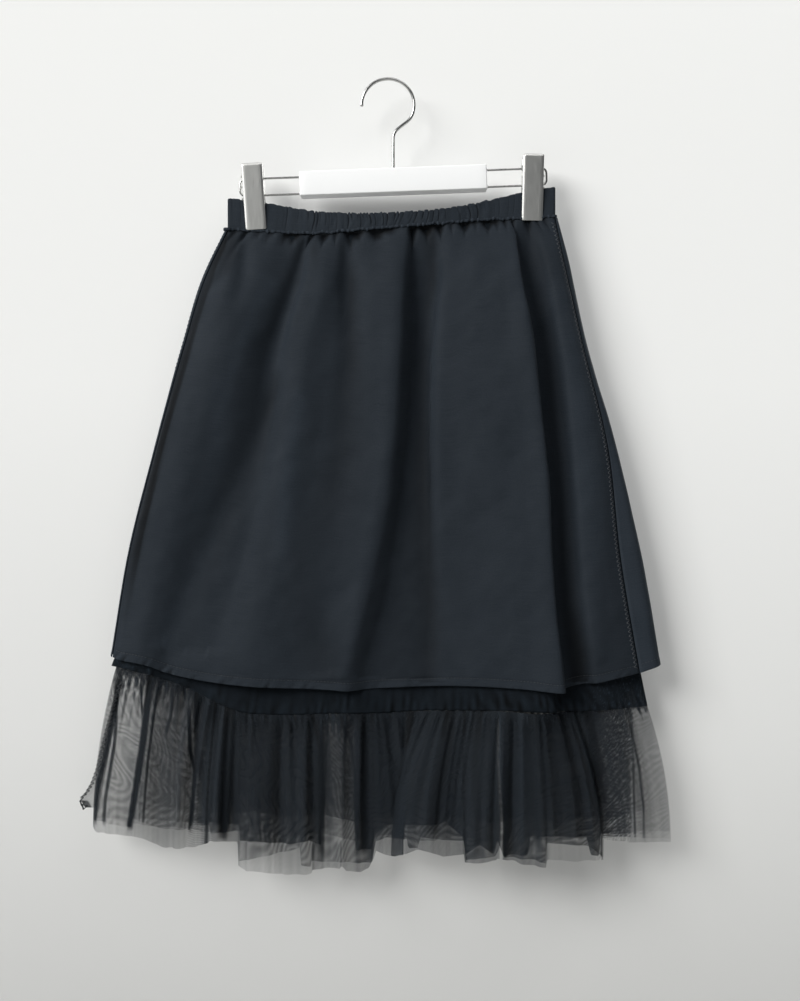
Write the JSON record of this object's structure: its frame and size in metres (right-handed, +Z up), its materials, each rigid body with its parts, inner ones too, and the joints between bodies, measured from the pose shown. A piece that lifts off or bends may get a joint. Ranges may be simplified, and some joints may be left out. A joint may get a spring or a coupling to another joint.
{
  "type": "skirt on a clip hanger",
  "caption": "Gathered A-line midi skirt with an elastic waist, over an underskirt edged with a see-through tulle ruffle, hung flat from a clip hanger by its wire hook.",
  "frame": {"origin": "inside top of the hook's bend, where a peg or rail carries the hanger", "axes": "+Z up, -Y out of the skirt's front, +X to the right as seen from the front"},
  "size_m": [0.5765, 0.0651, 0.7912],
  "materials": {
    "outer_cloth": "black matte plain-woven polyester with a faint sheen",
    "underskirt_cloth": "black fine matte lining cloth",
    "tulle": "soft black net, see-through in one layer and near opaque in several",
    "bright_wire": "bright plated steel wire",
    "satin_steel": "satin sheet steel with rounded bends",
    "white_bar": "smooth white, low gloss"
  },
  "bodies": {
    "root": {"waistband": "outer_cloth", "skirt_front": "outer_cloth", "skirt_back": "outer_cloth", "underskirt_front": "underskirt_cloth", "underskirt_back": "underskirt_cloth", "ruffle_front": "tulle", "ruffle_back": "tulle", "hanger_hook": "bright_wire", "hanger_wire_left": "bright_wire", "hanger_wire_right": "bright_wire", "hanger_bar": "white_bar", "clip_left_front": "satin_steel", "clip_left_back": "satin_steel", "clip_left_block": "satin_steel", "clip_right_front": "satin_steel", "clip_right_back": "satin_steel", "clip_right_block": "satin_steel"}
  },
  "joints": []
}
